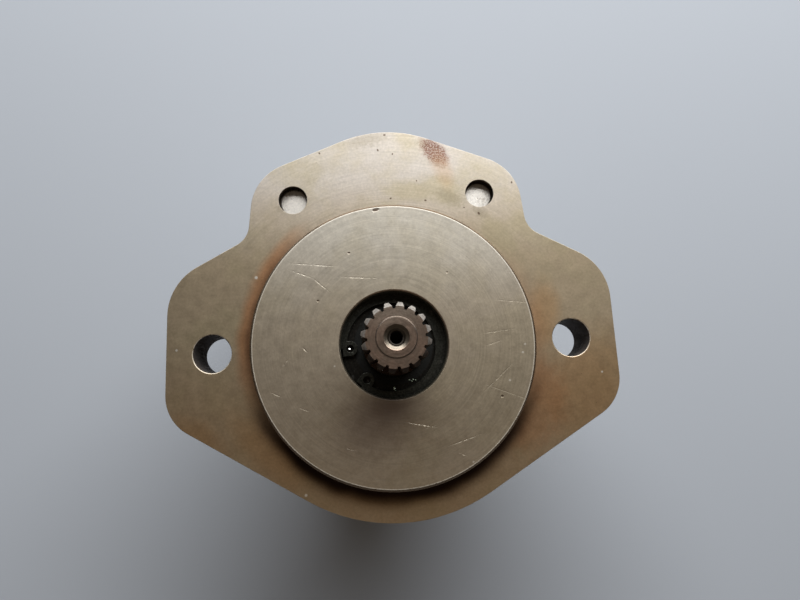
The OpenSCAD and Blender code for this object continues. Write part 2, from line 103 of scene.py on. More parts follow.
class Graph:
    """A material's node tree, built from small calls. Places are in millimetres, in the piece's own frame."""

    def __init__(self, name):
        self.material = bpy.data.materials.new(name)
        self.material.use_nodes = True
        self.tree = self.material.node_tree
        self.bsdf = self.tree.nodes["Principled BSDF"]
        self.noises = {}
        coords = self.add("ShaderNodeTexCoord")
        self.mm = self.vector("SCALE", coords.outputs["Object"], scale=1 / MM)
        split = self.add("ShaderNodeSeparateXYZ", Vector=self.mm)
        self.x, self.y, self.z = split.outputs
        self.flat = self.add("ShaderNodeCombineXYZ", X=self.x, Y=self.y).outputs[0]
        self.up = self.add("ShaderNodeSeparateXYZ", Vector=coords.outputs["Normal"]).outputs[2]

    def add(self, kind, **inputs):
        """A new node, with its inputs set or linked. An underscore stands for a space in an input's name."""
        node = self.tree.nodes.new(kind)
        for name, value in inputs.items():
            self.feed(node.inputs[name.replace("_", " ")], value)
        return node

    def feed(self, socket, value):
        """Links a socket to another node's output, or sets it to a plain value."""
        if isinstance(value, bpy.types.NodeSocket):
            self.tree.links.new(value, socket)
        else:
            socket.default_value = value

    def vector(self, operation, a, b=None, scale=None):
        """One step of vector maths."""
        node = self.add("ShaderNodeVectorMath")
        node.operation = operation
        self.feed(node.inputs[0], a)
        if b is not None:
            self.feed(node.inputs[1], b)
        if scale is not None:
            node.inputs["Scale"].default_value = scale
        return node.outputs["Value" if operation in ("DISTANCE", "DOT_PRODUCT") else "Vector"]

    def math(self, operation, a, b=0.0, c=0.0):
        """One step of number maths."""
        node = self.add("ShaderNodeMath")
        node.operation = operation
        for socket, value in zip(node.inputs, (a, b, c)):
            self.feed(socket, value)
        return node.outputs[0]

    def times(self, *values):
        """The product of all values."""
        out = values[0]
        for value in values[1:]:
            out = self.math("MULTIPLY", out, value)
        return out

    def either(self, *masks):
        """The highest of all masks."""
        out = masks[0]
        for mask in masks[1:]:
            out = self.math("MAXIMUM", out, mask)
        return out

    def step(self, value, low, high):
        """0 below low, 1 above high, smooth between. With low above high it falls instead."""
        node = self.add("ShaderNodeMapRange", Value=value)
        node.interpolation_type = "SMOOTHSTEP"
        flip = low > high
        node.inputs["From Min"].default_value = min(low, high)
        node.inputs["From Max"].default_value = max(low, high)
        node.inputs["To Min"].default_value = 1.0 if flip else 0.0
        node.inputs["To Max"].default_value = 0.0 if flip else 1.0
        return node.outputs["Result"]

    def band(self, value, low, high, soft):
        """1 between low and high, with soft edges that wide."""
        rising = self.step(value, low - soft, low + soft)
        falling = self.step(value, high + soft, high - soft)
        return self.times(rising, falling)

    def stretch(self, across, along):
        """Coordinates for a noise with across features per millimetre in X and Y, and along in Z."""
        node = self.add("ShaderNodeMapping", Vector=self.mm)
        node.inputs["Scale"].default_value = (across, across, along)
        return node.outputs["Vector"]

    def noise(self, scale, detail=3.0, rough=0.55, vector=None):
        """Fractal noise with about scale features per millimetre, from 0 to 1. Plain ones are made once."""
        key = (scale, detail, rough)
        if vector is None and key in self.noises:
            return self.noises[key]
        node = self.add("ShaderNodeTexNoise", Vector=vector or self.mm, Scale=scale, Detail=detail,
                        Roughness=rough)
        if vector is None:
            self.noises[key] = node.outputs["Fac"]
        return node.outputs["Fac"]

    def shifted(self, value, scale, amount, detail=4.0):
        """value with noise of that scale added, from -amount / 2 to amount / 2."""
        return self.math("MULTIPLY_ADD", self.math("SUBTRACT", self.noise(scale, detail), 0.5), amount, value)

    def radius(self, x=0.0, y=0.0):
        """Distance from the line parallel to Z through (x, y)."""
        return self.vector("DISTANCE", self.flat, (x, y, 0))

    def spot(self, x, y, long, wide, turn=0.0, soft=0.5, ragged=0.0, grain=0.4):
        """A patch in the XY plane with those half-lengths. Its edge is soft, and ragged moves it by noise."""
        c, s = math.cos(math.radians(turn)), math.sin(math.radians(turn))
        along = self.math("SUBTRACT", self.vector("DOT_PRODUCT", self.flat, (c / long, s / long, 0)),
                          (x * c + y * s) / long)
        across = self.math("SUBTRACT", self.vector("DOT_PRODUCT", self.flat, (-s / wide, c / wide, 0)),
                           (y * c - x * s) / wide)
        square = self.math("MULTIPLY_ADD", along, along, self.math("MULTIPLY", across, across))
        distance = self.math("SQRT", square)
        if ragged:
            distance = self.shifted(distance, grain, ragged)
        return self.step(distance, 1 + soft, 1 - soft)

    def scratch(self, x, y, half_length, turn, strength):
        """A thin straight mark in the XY plane."""
        return self.times(self.spot(x, y, half_length, SCRATCH_HALF_WIDTH, turn, 0.6), strength)

    def mix(self, a, b, factor):
        """Colour a where factor is 0, and b where it is 1."""
        node = self.add("ShaderNodeMix")
        node.data_type = "RGBA"
        self.feed(node.inputs["Factor"], factor)
        self.feed(node.inputs["A"], rgba(a))
        self.feed(node.inputs["B"], rgba(b))
        return node.outputs["Result"]

    def lerp(self, a, b, factor):
        """Number a where factor is 0, and b where it is 1."""
        node = self.add("ShaderNodeMix")
        self.feed(node.inputs["Factor"], factor)
        self.feed(node.inputs["A"], a)
        self.feed(node.inputs["B"], b)
        return node.outputs["Result"]

    def shade(self, colour, gain):
        """colour times a grey gain."""
        grey = self.add("ShaderNodeCombineColor", Red=gain, Green=gain, Blue=gain)
        node = self.add("ShaderNodeMix")
        node.data_type = "RGBA"
        node.blend_type = "MULTIPLY"
        node.inputs["Factor"].default_value = 1
        self.feed(node.inputs["A"], rgba(colour))
        self.feed(node.inputs["B"], grey.outputs["Color"])
        return node.outputs["Result"]

    def around(self, value, low, high):
        """Maps 0..1 to low..high."""
        return self.math("MULTIPLY_ADD", value, high - low, low)

    def contrast(self, value, low, high):
        """Stretches the middle of a noise: NOISE_LOW becomes low and NOISE_HIGH becomes high."""
        node = self.add("ShaderNodeMapRange", Value=value)
        node.inputs["From Min"].default_value = NOISE_LOW
        node.inputs["From Max"].default_value = NOISE_HIGH
        node.inputs["To Min"].default_value = low
        node.inputs["To Max"].default_value = high
        return node.outputs["Result"]

    def marks(self, quick, slow=0.0):
        """Noise over two measures, one feature for each unit, for the marks that a cutter leaves."""
        coords = self.add("ShaderNodeCombineXYZ", X=quick, Y=slow)
        return self.noise(1.0, 3, vector=coords.outputs[0])

    def rings(self, r, per_mm, along=0.7):
        """Noise that varies quickly with the radius and slowly round the axis, for turned faces."""
        angle = self.math("ARCTAN2", self.y, self.x)
        return self.marks(self.times(r, per_mm), self.times(angle, along))

    def bump(self, height, depth):
        """A bump of height (0..1) times depth in millimetres."""
        node = self.add("ShaderNodeBump", Height=height)
        node.inputs["Distance"].default_value = depth * MM
        return node.outputs["Normal"]

    def finish(self, colour, metallic, roughness, normal=None, **sockets):
        """Feeds the shader, and returns the material. Other sockets take one plain value each."""
        self.feed(self.bsdf.inputs["Base Color"], rgba(colour))
        self.feed(self.bsdf.inputs["Metallic"], metallic)
        self.feed(self.bsdf.inputs["Roughness"], roughness)
        if normal is not None:
            self.feed(self.bsdf.inputs["Normal"], normal)
        for name, value in sockets.items():
            self.bsdf.inputs[name.replace("_", " ")].default_value = value
        return self.material


def rgba(colour):
    """A plain colour with its alpha, or an output as it is."""
    return (*colour, 1.0) if isinstance(colour, tuple) and len(colour) == 3 else colour


# ---------------------------------------------------------------- mounting flange

IRON_LIT = (0.56, 0.505, 0.45)
IRON_SHADED = (0.50, 0.40, 0.275)
IRON_OLIVE = (0.45, 0.38, 0.24)
PILOT_LIT = (0.60, 0.55, 0.47)
PILOT_SHADED = (0.52, 0.44, 0.335)
BROWN = (0.50, 0.31, 0.155)
ORANGE = (0.50, 0.20, 0.07)
RUST = (0.23, 0.085, 0.048)
GRIME_AND_SHADE = (0.085, 0.05, 0.032)
BLACK_OIL_AND_SHADOW = (0.024, 0.014, 0.011)
DUST = (0.28, 0.235, 0.16)
BURNT_OIL_AND_SHADE = (0.19, 0.10, 0.055)
FOOT_OIL = (0.20, 0.12, 0.075)
CHAMFER_BROWN = (0.27, 0.185, 0.12)
SHAFT_SHADOW_BROWN = (0.24, 0.18, 0.155)
SHAFT_SHADOW_DARK = (0.17, 0.125, 0.105)
WORN_EDGE_AND_HIGHLIGHT = (0.80, 0.74, 0.65)
BRIGHT_SCRATCH = (0.92, 0.86, 0.76)
BRIGHT_FLECK = (0.95, 0.9, 0.8)
FLANGE_SKIN, FLANGE_SKIN_DARK = (0.26, 0.215, 0.17), (0.11, 0.085, 0.065)
RECESS_WALL, RECESS_WALL_DARK = (0.26, 0.25, 0.19), (0.16, 0.155, 0.115)
DRILLED, DRILLED_DARK = (0.13, 0.10, 0.075), (0.045, 0.045, 0.052)
TAPPED = (0.10, 0.085, 0.07)

# Marks on the milled face: middle, half-lengths and turn
BROWN_PATCHES = [(57, -14, 15, 11, 60), (-58, -25, 8, 5, -35), (46, 8, 9, 4, 90), (-37, -29, 12, 5, -45)]
ORANGE_PATCHES = [(40, -25, 8, 5, 50), (45, -17, 5, 9, 0)]
OLIVE_PATCHES = [(8, 47, 9, 3, -5), (17, 47, 7, 4, -20), (33, 32, 6, 4, -50)]
DIRTY_PATCHES = [(-5.5, 63.8, 6, 2, 8), (19.5, 44.5, 4, 2, -30), (28.5, 39.5, 2.4, 1.2, -35),
                 (-32, 43, 1.5, 1, 0)]
RUST_PATCH = (15.4, 59.2, 5.2, 2.9, -50)
RUST_TAIL = (17.5, 53.5, 5.5, 2.6, -70)

# Specks and flecks on it: place and size
DARK_SPECKS = [(0.2, 65.2, 0.4), (-2.1, 60.4, 0.4), (2.4, 59.0, 0.3), (38.7, 48.6, 0.35),
               (11.8, 43.9, 0.35), (-20, 60.0, 0.35), (1.2, 44.9, 0.35), (23.5, 41.2, 0.25),
               (27.9, 39.2, 0.45), (9.4, 50.2, 0.25)]
LIGHT_FLECKS = [(-40.0, 22.1, 0.45), (-27.0, -41.6, 0.4), (61.6, -10.6, 0.3), (-63.5, 1.5, 0.35)]

# Scratches on the pilot: middle, half-length, turn and strength
PILOT_SCRATCHES = [
    (-25.2, 21.2, 3.4, -22, 0.7), (-20.4, 18.2, 3.0, -42, 0.5), (-22.4, 24.0, 5.2, -6, 0.5),
    (-9.0, 19.7, 4.3, -4, 0.5), (6.4, -23.0, 3.6, -12, 1.0), (9.2, -23.8, 1.4, 14, 0.6),
    (-13.2, -28.9, 1.4, -16, 0.7), (18.7, -27.9, 4.0, 17, 0.7), (17.7, -31.7, 0.8, -24, 0.8),
    (29.2, -11.0, 4.9, 41, 0.5), (32.1, -15.3, 6.3, -22, 0.3), (34.8, 10.9, 3.5, -7, 0.4),
    (30.4, 2.4, 3.8, 6, 0.5), (-31.0, -3.9, 1.1, 48, 0.7), (-25.4, -0.5, 0.8, -47, 0.8),
    (-33.9, -12.7, 1.3, -26, 0.6), (-26.2, -17.2, 1.2, -23, 0.6), (28.7, -1.0, 1.8, 16, 0.4),
]
PILOT_SHAFT_SHADOW = (-5.5, -21.5, 10, 7.5, 30)
PILOT_SHAFT_SHADOW_CORE = (-0.5, -17.5, 7, 3.5, 0)
PILOT_PITS = [(-11.9, 27.1, 0.35), (-21.3, 13.4, 0.35), (30.1, -16.2, 0.4), (16.4, 20.2, 0.25)]
PILOT_FLECKS = [(36.9, -4.0, 0.3), (37.7, -1.7, 0.3), (32.6, -11.8, 0.3), (20.7, -34.0, 0.3),
                (-17.2, -5.5, 0.25)]
PILOT_NICK = (-3.5, 39.7, 1.0, 0.5, 8)

CUTTER_ARC_Y = -6        # centre of the arcs that the facing cutter left


def milled_face(g, r, fine, broad):
    """Colour and relief of the flange's mounting face."""
    height = g.shifted(g.y, 0.05, 16)
    # Painted light and shade: the face is lighter towards the top, and darker and browner towards the bottom
    colour = g.mix(IRON_SHADED, IRON_LIT, g.step(height, 24, 58))
    colour = g.mix(colour, IRON_OLIVE, g.times(0.55, g.step(broad, 0.42, 0.66)))
    colour = g.mix(colour, BROWN, g.times(0.30, g.step(height, 8, -22)))
    olive = g.either(*[g.spot(*patch, 0.5, 0.9, 0.35) for patch in OLIVE_PATCHES])
    colour = g.mix(colour, IRON_OLIVE, g.times(0.55, olive))
    dirty = g.either(*[g.spot(*patch, 0.7, 2.2, 0.9) for patch in DIRTY_PATCHES])
    colour = g.mix(colour, DUST, g.times(0.42, dirty))
    brown = g.either(*[g.spot(*patch, 0.6, 0.8, 0.14) for patch in BROWN_PATCHES])
    colour = g.mix(colour, BROWN, g.times(0.65, brown))
    orange = g.either(*[g.spot(*patch, 0.6, 1.0, 0.35) for patch in ORANGE_PATCHES])
    colour = g.mix(colour, ORANGE, g.times(0.35, orange))
    # Rust-coloured oil that clings to the foot of the pilot, on its left, and less on its right. Next to the
    # wall on the left it turns dark brown, partly oil and partly painted shade at the pilot's foot
    foot = g.shifted(r, 0.08, 3.0, 1.0)
    left = g.times(g.step(foot, 47.6, 44.2), g.step(g.x, -22, -36), g.step(g.y, -26, 4))
    colour = g.mix(colour, ORANGE, g.times(0.62, left))
    colour = g.mix(colour, BURNT_OIL_AND_SHADE, g.times(0.75, left, g.step(foot, 44.6, 42.4)))
    right = g.times(g.step(foot, 48.0, 42.5), g.step(g.x, 20, 40), g.step(g.y, 34, 2))
    colour = g.mix(colour, ORANGE, g.times(0.30, right))
    # Black sludge and painted shadow in the corner below the pilot, and a thin line of painted shade all
    # round the pilot's foot
    low = g.step(g.shifted(g.y, 0.1, 8), -8, -32)
    colour = g.mix(colour, GRIME_AND_SHADE, g.times(0.88, g.step(foot, 48.0, 42.8), low))
    colour = g.mix(colour, BLACK_OIL_AND_SHADOW, g.times(0.94, g.step(foot, 46.0, 42.8), low))
    # Painted shade: a thin dark line in the corner at the pilot's foot
    foot_shade_line = g.times(g.step(r, PILOT_R + 1.0, PILOT_R + 0.2), 0.7)
    colour = g.mix(colour, GRIME_AND_SHADE, foot_shade_line)
    # Rust patch near the top edge, a cloud of small red grains with a faint brown tail
    grains = g.step(g.noise(2.2, 3, 0.7), 0.44, 0.56)
    patch = g.spot(*RUST_PATCH, 0.40, 0.9, 0.9)
    colour = g.mix(colour, RUST, g.times(patch, g.around(grains, 0.38, 0.98)))
    colour = g.mix(colour, BROWN, g.times(0.34, g.spot(*RUST_TAIL, 0.6, 0.7, 0.35)))
    specks = g.either(*[g.spot(x, y, size, size * 0.7, 30 * x, 0.4, 0.6, 0.9) for x, y, size in DARK_SPECKS])
    colour = g.mix(colour, GRIME_AND_SHADE, g.times(0.85, specks))
    flecks = g.either(*[g.spot(x, y, size, size, 0, 0.4) for x, y, size in LIGHT_FLECKS])
    colour = g.mix(colour, BRIGHT_FLECK, g.times(0.9, flecks))
    # A faint scatter of tiny dark pores in the iron
    pores = g.times(g.step(g.noise(1.6, 2, 0.6), 0.70, 0.76), g.step(broad, 0.40, 0.55))
    colour = g.mix(colour, GRIME_AND_SHADE, g.times(0.5, pores))
    arc = g.radius(0, CUTTER_ARC_Y)
    lines = g.marks(g.times(arc, 2.0), g.times(g.x, 0.04))
    clear = g.step(g.y, 18, 40)
    lines = g.lerp(0.5, lines, g.around(clear, 0.25, 1.0))
    # Painted shade: the face beside the pilot's upper half is painted a little darker
    painted_shade_band = g.lerp(1.0, 0.89, g.band(height, 12, 36, 9))
    colour = g.shade(colour, g.times(g.contrast(lines, 0.95, 1.05), g.contrast(fine, 0.92, 1.09), painted_shade_band))
    return colour, g.math("ADD", lines, g.times(fine, 0.6)), g.times(patch, grains)


def turned_pilot(g, r, fine, broad):
    """Colour and relief of the pilot's turned face."""
    height = g.shifted(g.y, 0.06, 14)
    # Painted light and shade: the pilot is lighter and cooler towards the top, darker and warmer towards the
    # bottom
    colour = g.mix(PILOT_SHADED, PILOT_LIT, g.step(height, 4, 36))
    colour = g.mix(colour, IRON_OLIVE, g.times(0.25, g.step(broad, 0.45, 0.65)))
    turned = g.rings(r, 3.0)
    wide_rings = g.rings(r, 1.1, 0.4)
    # The turning marks catch the light in some places only
    caught = g.step(g.noise(0.035, 2), 0.40, 0.62)
    gain = g.times(g.contrast(turned, 0.95, 1.06), g.lerp(1.0, g.contrast(wide_rings, 0.94, 1.07), caught),
                   g.contrast(fine, 0.93, 1.08))
    colour = g.shade(colour, gain)
    # Painted shadow of the shaft on the pilot, just below the bore
    colour = g.mix(colour, SHAFT_SHADOW_BROWN, g.times(0.55, g.spot(*PILOT_SHAFT_SHADOW, 0.9, 0.5, 0.15)))
    colour = g.mix(colour, SHAFT_SHADOW_DARK, g.times(0.60, g.spot(*PILOT_SHAFT_SHADOW_CORE, 0.9, 0.5, 0.15)))
    worn = g.either(*[g.scratch(*mark) for mark in PILOT_SCRATCHES])
    broken = g.times(worn, g.step(g.noise(1.2, 3), 0.3, 0.6))
    flecks = g.either(*[g.spot(x, y, size, size, 0, 0.5) for x, y, size in PILOT_FLECKS])
    colour = g.mix(colour, BRIGHT_SCRATCH, g.either(g.times(0.34, broken), g.times(0.8, flecks)))
    pits = g.either(*[g.spot(x, y, size, size * 0.8, 0, 0.4) for x, y, size in PILOT_PITS],
                    g.spot(*PILOT_NICK, 0.3, 0.8, 0.9))
    colour = g.mix(colour, GRIME_AND_SHADE, g.times(0.85, pits))
    relief = g.math("ADD", turned, g.times(fine, 0.8))
    relief = g.math("SUBTRACT", relief, g.times(4.0, g.either(broken, pits)))
    return colour, relief


def cast_skin(g, colour, dark):
    """Colour and relief of a rough cast surface."""
    coarse = g.noise(0.55, 5, 0.6)
    sand = g.noise(1.8, 4, 0.7)
    tone = g.mix(dark, colour, g.step(g.math("ADD", coarse, g.times(sand, 0.4)), 0.5, 0.9))
    tone = g.mix(tone, RUST, g.times(0.45, g.step(g.noise(0.10, 5, 0.65), 0.56, 0.70)))
    return tone, g.math("ADD", coarse, g.times(sand, 0.5))


def flange_material():
    """Machined cast iron under old oil: a milled face and a turned pilot, with cast sides and dark holes, and
    painted light and shade on the face and the pilot.
    """
    g = Graph("flange_iron")
    r = g.radius()
    fine = g.noise(1.3, 5, 0.65)
    broad = g.noise(0.045, 4, 0.6)
    face, face_relief, rusty = milled_face(g, r, fine, broad)
    pilot, pilot_relief = turned_pilot(g, r, fine, broad)
    skin, skin_relief = cast_skin(g, FLANGE_SKIN, FLANGE_SKIN_DARK)
    # Which surface a point is on
    on_pilot = g.step(g.z, PILOT_TOP - 1.0, PILOT_TOP - 0.8)
    upright = g.step(g.math("ABSOLUTE", g.up), 0.45, 0.2)
    outside = g.step(r, PILOT_R + 0.4, PILOT_R + 0.8)
    on_side = g.times(upright, outside, g.step(g.z, -0.1, -0.3))
    foot_wall = g.times(upright, g.step(r, PILOT_R + 0.3, PILOT_R + 0.1),
                        g.step(r, PILOT_R - 1, PILOT_R - 0.5))
    recess = g.times(g.step(r, RECESS_R + 1.3, RECESS_R + 1.1),
                     g.step(g.z, PILOT_TOP - 0.45, PILOT_TOP - 0.55))
    bolt_holes = [g.step(g.radius(x, y), BOLT_R + 0.25, BOLT_R + 0.1) for x, y in BOLTS if y > 0]
    mount_holes = [g.step(g.radius(x, 0), MOUNT_R + 0.25, MOUNT_R + 0.1) for x in (-MOUNT_X, MOUNT_X)]
    below = g.step(g.z, -0.15, -0.35)
    threads = g.times(below, g.either(*bolt_holes))
    drilled = g.times(below, g.either(*mount_holes))
    # Thin bright lines on the machined edges: worn bright on the flange's outline, and a painted highlight
    # just inside the pilot's chamfer
    slope = g.band(g.up, 0.45, 0.93, 0.05)
    worn = g.step(g.noise(0.9, 4, 0.6), 0.30, 0.52)
    chamfer = g.times(slope, g.band(r, PILOT_R - 0.62, PILOT_R + 0.1, 0.05),
                      g.step(g.z, PILOT_TOP - 0.8, PILOT_TOP - 0.7))
    pilot_rim_highlight = g.times(g.band(r, PILOT_R - 0.95, PILOT_R - 0.66, 0.08), on_pilot, g.contrast(worn, 0.6, 0.9))
    edge = g.times(slope, worn, g.step(r, PILOT_R + 0.5, PILOT_R + 1))
    colour = g.mix(face, pilot, on_pilot)
    colour = g.mix(colour, FOOT_OIL, g.times(0.8, foot_wall))
    colour = g.mix(colour, skin, on_side)
    colour = g.mix(colour, WORN_EDGE_AND_HIGHLIGHT, g.either(g.times(0.75, edge), g.times(0.6, pilot_rim_highlight)))
    # The pilot's chamfer is painted dark brown all round
    colour = g.mix(colour, CHAMFER_BROWN, g.times(0.85, chamfer))
    colour = g.mix(colour, g.mix(RECESS_WALL_DARK, RECESS_WALL, g.rings(r, 1.5)), recess)
    colour = g.mix(colour, TAPPED, threads)
    colour = g.mix(colour, g.mix(DRILLED_DARK, DRILLED, g.noise(0.3, 3)), drilled)
    rough = g.around(g.noise(0.3, 4), 0.37, 0.50)
    rough = g.lerp(rough, 0.72, g.either(on_side, g.times(0.8, rusty)))
    relief = g.lerp(g.lerp(face_relief, pilot_relief, on_pilot), g.times(skin_relief, 14.0), on_side)
    # The worn edges and the painted rim highlight are partly matt, so they stay bright from every side
    matt = g.either(g.times(0.55, on_side), g.times(0.7, rusty), g.times(0.6, edge), g.times(0.6, pilot_rim_highlight))
    metal = g.math("SUBTRACT", 1.0, matt)
    return g.finish(colour, metal, rough, g.bump(relief, 0.012))


# ---------------------------------------------------------------- housing and rear cover

ALUMINIUM = (0.56, 0.55, 0.53)
FACED_ALUMINIUM = (0.66, 0.64, 0.60)
DINGED_ALUMINIUM = (0.80, 0.79, 0.76)
OIL_FILM = (0.33, 0.27, 0.20)
JOINT_GRIME = (0.13, 0.105, 0.08)
SEALING_OIL = (0.20, 0.15, 0.10)
PORT_INSIDE = (0.17, 0.15, 0.13)

COVER_SKIN, COVER_SKIN_DARK = (0.235, 0.20, 0.165), (0.10, 0.08, 0.065)
COVER_MACHINED = (0.46, 0.42, 0.36)
COVER_FLASH = (0.52, 0.46, 0.39)
COVER_OIL = (0.085, 0.065, 0.05)


def housing_material():
    """Extruded aluminium: drawn lines along Z, milled ends and port faces, and oily dust by the joints."""
    g = Graph("housing_aluminium")
    fine = g.noise(1.2, 4, 0.65)
    drawn = g.noise(1.0, 4, 0.6, vector=g.stretch(1.6, 0.012))
    wide_drawn = g.noise(1.0, 2, vector=g.stretch(0.22, 0.004))
    gain = g.times(g.contrast(drawn, 0.86, 1.10), g.contrast(wide_drawn, 0.92, 1.06),
                   g.contrast(fine, 0.94, 1.05))
    colour = g.shade(ALUMINIUM, gain)
    colour = g.mix(colour, OIL_FILM, g.times(0.55, g.step(g.noise(0.05, 5, 0.65), 0.50, 0.68)))
    joints = g.either(g.step(g.shifted(g.z, 0.2, 3), FLANGE_BACK - 4.5, FLANGE_BACK),
                      g.step(g.shifted(g.z, 0.2, 3), BODY_BACK + 4.0, BODY_BACK))
    colour = g.mix(colour, JOINT_GRIME, g.times(0.75, joints))
    # Round the ports: a turned spot face with a ring of old sealing oil, and dark oily threads
    sideways = g.add("ShaderNodeCombineXYZ", X=g.y, Y=g.z).outputs[0]
    from_port = g.vector("DISTANCE", sideways, (PORT_Y, PORT_Z, 0))
    reach = g.math("ABSOLUTE", g.x)
    outer = g.step(reach, PORT_FACE_X - 0.9, PORT_FACE_X - 0.5)
    turned = g.marks(g.times(from_port, 3.0))
    faced = g.times(outer, g.step(reach, PORT_FACE_X + 0.15, PORT_FACE_X + 0.05),
                    g.step(from_port, 19.5, 18.0))
    colour = g.mix(colour, g.shade(FACED_ALUMINIUM, g.contrast(turned, 0.88, 1.08)), faced)
    weep = g.times(outer, g.band(g.shifted(from_port, 0.2, 3), 14, 19, 2), 0.35)
    colour = g.mix(colour, SEALING_OIL, weep)
    inside = g.times(g.step(reach, PORT_FACE_X - 1.6, PORT_FACE_X - 3.6), g.step(from_port, 16.5, 15.5))
    colour = g.mix(colour, PORT_INSIDE, g.times(0.8, inside))
    dings = g.step(g.noise(0.5, 2, 0.5), 0.70, 0.74)
    colour = g.mix(colour, DINGED_ALUMINIUM, g.times(0.6, dings))
    relief = g.math("SUBTRACT", g.math("ADD", g.lerp(drawn, turned, faced), g.times(fine, 0.4)), dings)
    rough = g.around(g.noise(0.15, 4), 0.34, 0.52)
    return g.finish(colour, 1.0, g.lerp(rough, 0.6, g.times(0.7, joints)), g.bump(relief, 0.02))


def cover_material():
    """Cast iron with a rough skin and bright flash on its edges. The bolt seats are machined, and rusting."""
    g = Graph("cover_iron")
    skin, relief = cast_skin(g, COVER_SKIN, COVER_SKIN_DARK)
    seats = g.either(*[g.step(g.radius(x, y), BOLT_SEAT_R + 0.1, BOLT_SEAT_R - 0.1) for x, y in BOLTS])
    seats = g.times(seats, g.step(g.z, COVER_BACK + 1.2, COVER_BACK + 0.9))
    turned = g.either(*[g.marks(g.times(g.radius(x, y), 2.6)) for x, y in BOLTS])
    machined = g.mix(COVER_MACHINED, RUST, g.times(0.5, g.step(g.noise(0.35, 5, 0.7), 0.48, 0.66)))
    colour = g.mix(skin, g.shade(machined, g.contrast(turned, 0.85, 1.1)), seats)
    lean = g.math("ABSOLUTE", g.up)
    flash = g.times(g.step(lean, 0.95, 0.75), g.step(lean, 0.25, 0.45), g.step(g.noise(0.8, 3), 0.35, 0.6))
    colour = g.mix(colour, COVER_FLASH, g.times(0.7, flash))
    oily = g.step(g.noise(0.06, 4), 0.50, 0.64)
    colour = g.mix(colour, COVER_OIL, g.times(0.5, oily))
    rough = g.lerp(g.around(g.noise(0.4, 3), 0.58, 0.76), 0.42, seats)
    metal = g.lerp(0.5, 1.0, seats)
    relief = g.lerp(relief, g.times(turned, 0.1), seats)
    return g.finish(colour, metal, rough, g.bump(relief, 0.22))


# ---------------------------------------------------------------- drive shaft

STEEL_BROWN, STEEL_DARK_BROWN = (0.36, 0.255, 0.195), (0.30, 0.225, 0.175)
STEEL_PALE = (0.50, 0.41, 0.33)
STEEL_GROUND = (0.58, 0.56, 0.53)
TOOTH_BRIGHT, TOOTH_SHADED = (0.84, 0.76, 0.67), (0.10, 0.075, 0.06)
TOOTH_FLANK_SHADE = (0.060, 0.032, 0.022)
RAISED_RING = (0.50, 0.45, 0.40)
CENTRE_CONE = (0.23, 0.195, 0.155)
CENTRE_HOLE = (0.012, 0.010, 0.010)


def shaft_material():
    """Hardened steel, brown with old oil on its end, and worn bright on the spline's edges. Painted shade
    darkens the lower teeth, the flanks and the centre hole.
    """
    g = Graph("shaft_steel")
    r = g.radius()
    fine = g.noise(1.8, 4, 0.65)
    turned = g.rings(r, 2.2)
    colour = g.mix(STEEL_BROWN, STEEL_DARK_BROWN, g.step(g.noise(0.25, 3), 0.4, 0.6))
    colour = g.mix(colour, STEEL_PALE, g.times(0.6, g.step(g.shifted(g.y, 0.3, 4), 0, 8)))
    # The teeth are rubbed bright on their chamfer; on the lower teeth the chamfer is painted dark, which is
    # painted shade
    slope = g.band(g.up, 0.30, 0.93, 0.05)
    chamfer = g.times(slope, g.step(g.z, SHAFT_END - 2.4, SHAFT_END - 2.0), g.step(r, 6.4, 6.8))
    lower_shade = g.step(g.shifted(g.y, 0.4, 3), 0.5, -5.0)
    colour = g.mix(colour, g.mix(TOOTH_BRIGHT, TOOTH_SHADED, lower_shade), g.times(0.95, chamfer))
    ring_slope = g.times(slope, g.band(r, 4.6, 5.8, 0.2), g.step(g.z, SHAFT_END - 1, SHAFT_END - 0.6))
    colour = g.mix(colour, RAISED_RING, g.times(0.8, ring_slope))
    deep = g.step(g.z, CENTRE_HOLE_FROM, CENTRE_HOLE_FROM + 1)
    cone = g.times(g.step(r, 3.45, 3.3), g.step(g.z, SHAFT_END - 0.05, SHAFT_END - 0.12), deep)
    colour = g.mix(colour, CENTRE_CONE, cone)
    # Painted shade: the spline's flanks and the shank below the chamfer are painted near black
    flanks = g.times(g.step(g.z, SHAFT_END - 1.6, SHAFT_END - 2.0),
                     g.step(g.z, SHAFT_SHADE_FROM, SHAFT_SHADE_FROM + 1))
    colour = g.mix(colour, TOOTH_FLANK_SHADE, g.times(0.92, flanks))
    # Painted shade: the centre hole is painted near black and matt
    centre = g.times(g.step(r, 2.0, 1.55), deep)
    colour = g.mix(colour, CENTRE_HOLE, centre)
    colour = g.shade(colour, g.times(g.contrast(turned, 0.86, 1.12), g.contrast(fine, 0.88, 1.12)))
    lower = g.step(g.z, SHAFT_SHADE_FROM + 2, SHAFT_SHADE_FROM)
    colour = g.mix(colour, STEEL_GROUND, lower)
    rough = g.lerp(g.around(fine, 0.30, 0.44), 0.22, lower)
    rough = g.lerp(rough, 0.85, centre)
    metal = g.math("SUBTRACT", 1.0, g.times(0.8, centre))
    return g.finish(colour, metal, rough, g.bump(g.math("ADD", turned, fine), 0.02))


# ---------------------------------------------------------------- other materials

